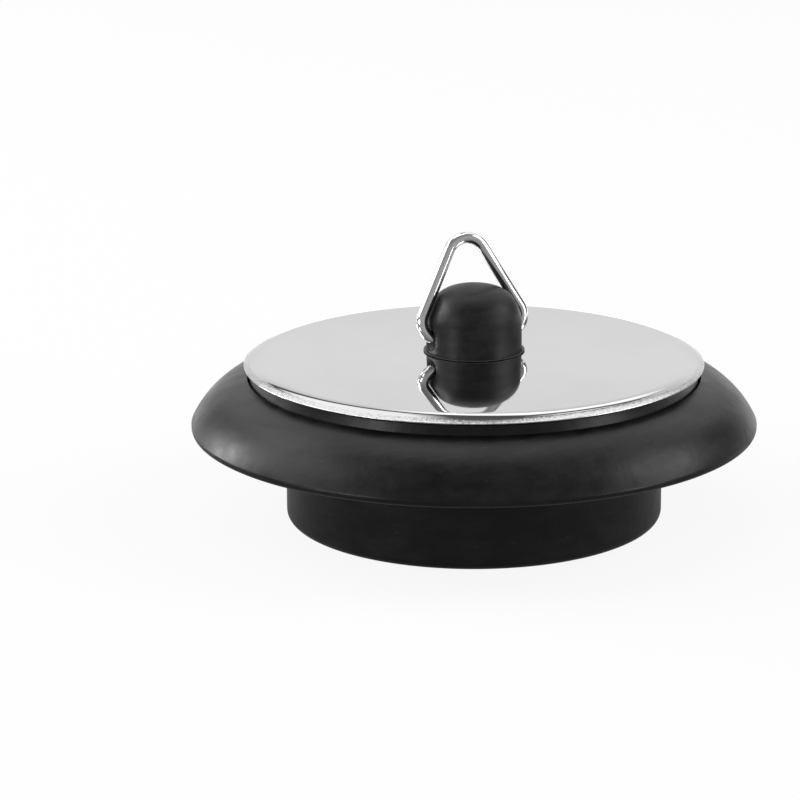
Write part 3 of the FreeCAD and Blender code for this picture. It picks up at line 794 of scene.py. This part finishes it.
floor_white = bpy.data.materials.new("floor_white")
floor_white.use_nodes = True
floor_white.cycles.emission_sampling = "NONE"
tree = floor_white.node_tree
tree.nodes.remove(tree.nodes["Principled BSDF"])
by_camera, by_mirror = ray_kinds(tree)
place = add_node(tree, "ShaderNodeTexCoord").outputs["Object"]
floor_parts = add_node(tree, "ShaderNodeSeparateXYZ", Vector=place).outputs
glow = add_range(tree, floor_parts["Y"], *FLOOR_FADE, *FLOOR_IN_MIRRORS)
glow = add_math(tree, "MULTIPLY", by_mirror, glow)
glow = add_math(tree, "MAXIMUM", glow, add_math(tree, "MULTIPLY", by_camera, 1.0 - FLOOR_LIT_SHARE))
lit_grey = (FLOOR_LIT_SHARE, FLOOR_LIT_SHARE, FLOOR_LIT_SHARE, 1.0)
matt = add_node(tree, "ShaderNodeBsdfDiffuse", Color=lit_grey)
white = add_node(tree, "ShaderNodeEmission", Strength=glow)
both = tree.nodes.new("ShaderNodeAddShader")
feed(tree, both.inputs[0], matt.outputs["BSDF"])
feed(tree, both.inputs[1], white.outputs["Emission"])
feed(tree, tree.nodes["Material Output"].inputs["Surface"], both.outputs["Shader"])
floor_data.materials.append(floor_white)

# Studio.
# A white room that only reflections see in detail: a bright wall and a ceiling behind the object,
# and a plain dimmer wall in front. Softboxes stand high and low at the left and the right, one more
# at the left behind, and one overhead.

# Levels are brightnesses, where one is white. Pairs are where a change starts and ends,
# measured along X, Y or Z of a direction one unit long.
ROOM_LIGHT = 0.25
WALL_FOOT = (0.15, 0.27)
WALL_FOOT_LEVEL = 0.90
WALL_BACK = (0.72, 0.92)
WALL_SIDE_LEVEL = 0.35
LINE_MIDDLE = 0.07
LINE_SAG = 0.8
BAND_FOOT = (0.52, 0.56)
BAND_LEVEL = 1.7
BAND_END = (0.10, 0.20)
LINE_FOOT = (0.655, 0.675)
LINE_TOP = (0.715, 0.745)
LINE_LEVEL = 0.12
SLOT_MIDDLE = 0.02
SLOT_EDGE = (0.05, 0.11)
SLOT_TOP = (0.83, 0.89)
SLOT_TOP_LEVEL = 0.6
CEILING_LEVEL = 1.4
CEILING_MIDDLE = Vector((0, 0.62, 0.785))
CEILING_EDGE = (0.70, 0.80)
FRONT_LEVEL = 0.45
FRONT_TOP_LEVEL = 0.25
FRONT_FADE = (0.50, 0.85)
BACK_STARTS = (-0.10, 0.30)
AIM = Vector((0, 0, 0.015))
SOFTBOX_DISTANCE = 0.8
# Each softbox's name, azimuth and elevation in degrees, width and height in metres, and brightness.
SOFTBOXES = (
    ("left_softbox", -97, 38, 0.70, 0.50, 2.6),
    ("left_back_softbox", -118, 13, 0.22, 0.22, 13.0),
    ("left_low_softbox", -52, 10, 0.26, 0.22, 7.5),
    ("right_softbox", 92, 33, 0.40, 0.38, 4.8),
    ("right_low_softbox", 66, 10, 0.26, 0.22, 7.0),
    ("top_softbox", 180, 82, 0.50, 0.35, 1.4),
)

world = bpy.data.worlds.new("studio_room")
bpy.context.scene.world = world
world.use_nodes = True
tree = world.node_tree
backdrop = tree.nodes["Background"]
direction = add_node(tree, "ShaderNodeTexCoord").outputs["Generated"]
direction_parts = add_node(tree, "ShaderNodeSeparateXYZ", Vector=direction).outputs
height = direction_parts["Z"]


def add_cosine(tree, direction, middle):
    """Gives the cosine of the angle between a direction and a fixed one."""
    node = add_node(tree, "ShaderNodeVectorMath", {"operation": "DOT_PRODUCT"})
    feed(tree, node.inputs[0], direction)
    feed(tree, node.inputs[1], middle)
    return node.outputs["Value"]


def off_from(tree, value, middle):
    """Gives how far a value is from a fixed one."""
    return add_math(tree, "ABSOLUTE", add_math(tree, "SUBTRACT", value, middle))


# The back wall is white, and it dims to the sides. A bright band tops it straight back. Over it hangs
# a ceiling, with a dark line at its foot that sags to both sides, and a dark slot in the middle.
off_middle = off_from(tree, direction_parts["X"], LINE_MIDDLE)
hang = add_math(tree, "ADD", height, add_math(tree, "MULTIPLY", off_middle, LINE_SAG))
wall = add_range(tree, height, *WALL_FOOT, WALL_FOOT_LEVEL, 1.0)
sideways = add_range(tree, direction_parts["Y"], *WALL_BACK, WALL_SIDE_LEVEL, 1.0)
wall = add_math(tree, "MULTIPLY", wall, sideways)
band = add_range(tree, hang, *BAND_FOOT, 0.0, BAND_LEVEL)
band = add_math(tree, "MULTIPLY", band, add_range(tree, off_middle, *BAND_END, 1.0, 0.0))
below_line = add_range(tree, hang, *LINE_FOOT, 1.0, 0.0)
below = add_math(tree, "MULTIPLY", add_math(tree, "MAXIMUM", wall, band), below_line)
slot = add_range(tree, height, *SLOT_TOP, LINE_LEVEL, SLOT_TOP_LEVEL)
off_slot = off_from(tree, direction_parts["X"], SLOT_MIDDLE)
beside_slot = add_range(tree, off_slot, *SLOT_EDGE, 0.0, CEILING_LEVEL)
ceiling = add_math(tree, "MAXIMUM", slot, beside_slot)
ceiling = add_math(tree, "MULTIPLY", ceiling, add_range(tree, hang, *LINE_TOP, 0.0, 1.0))
in_ceiling = add_range(tree, add_cosine(tree, direction, CEILING_MIDDLE), *CEILING_EDGE, 0.0, 1.0)
ceiling = add_math(tree, "MULTIPLY", ceiling, in_ceiling)
back = add_math(tree, "MAXIMUM", add_math(tree, "MAXIMUM", below, ceiling), LINE_LEVEL)
# The front half is one plain wall that dims towards the ceiling.
front = add_range(tree, height, *FRONT_FADE, FRONT_LEVEL, FRONT_TOP_LEVEL)
is_back = add_range(tree, direction_parts["Y"], *BACK_STARTS, 0.0, 1.0)
is_front = add_math(tree, "SUBTRACT", 1.0, is_back)
room = add_math(tree, "MULTIPLY", back, is_back)
room = add_math(tree, "ADD", room, add_math(tree, "MULTIPLY", front, is_front))
by_camera, by_mirror = ray_kinds(tree)
by_mirror_only = add_math(tree, "MULTIPLY", by_mirror, add_math(tree, "SUBTRACT", 1.0, by_camera))
by_neither = add_math(tree, "SUBTRACT", 1.0, add_math(tree, "MAXIMUM", by_camera, by_mirror))
level = add_math(tree, "ADD", by_camera, add_math(tree, "MULTIPLY", by_mirror_only, room))
level = add_math(tree, "ADD", level, add_math(tree, "MULTIPLY", by_neither, ROOM_LIGHT))
feed(tree, backdrop.inputs["Strength"], level)
backdrop.inputs["Color"].default_value = (1, 1, 1, 1)


def hang_softbox(name, azimuth, elevation, width, height, brightness):
    """A soft lamp aimed at the object. Azimuth is from the camera's side, and to the right is positive."""
    turn = math.radians(azimuth)
    rise = math.radians(elevation)
    outward = Vector((math.sin(turn) * math.cos(rise), -math.cos(turn) * math.cos(rise), math.sin(rise)))
    lamp = bpy.data.lights.new(name, "AREA")
    lamp.shape = "RECTANGLE"
    lamp.size = width
    lamp.size_y = height
    lamp.energy = brightness * math.pi * width * height
    holder = bpy.data.objects.new(name, lamp)
    holder.location = AIM + outward * SOFTBOX_DISTANCE
    holder.rotation_euler = outward.to_track_quat("Z", "Y").to_euler()
    bpy.context.scene.collection.objects.link(holder)


for softbox in SOFTBOXES:
    hang_softbox(*softbox)

# Camera.
# Placed by the outlines of the flange, the cap, the plug and the knob. The shift is the photograph's
# framing, where the object stands a little to the right.

CAMERA_BACK = 0.320
CAMERA_HEIGHT = 0.102
CAMERA_PITCH = 15.645
CAMERA_SENSOR = 36.0
CAMERA_LENS = 140.85
CAMERA_SHIFT = -0.0925
CAMERA_CLIP = 0.01

lens = bpy.data.cameras.new("photo_camera")
lens.sensor_width = CAMERA_SENSOR
lens.lens = CAMERA_LENS
lens.shift_x = CAMERA_SHIFT
lens.clip_start = CAMERA_CLIP
camera = bpy.data.objects.new("photo_camera", lens)
camera.location = (0, -CAMERA_BACK, CAMERA_HEIGHT)
camera.rotation_euler = (math.radians(90 - CAMERA_PITCH), 0, 0)
bpy.context.scene.collection.objects.link(camera)
bpy.context.scene.camera = camera
bpy.context.scene.view_settings.view_transform = "Standard"
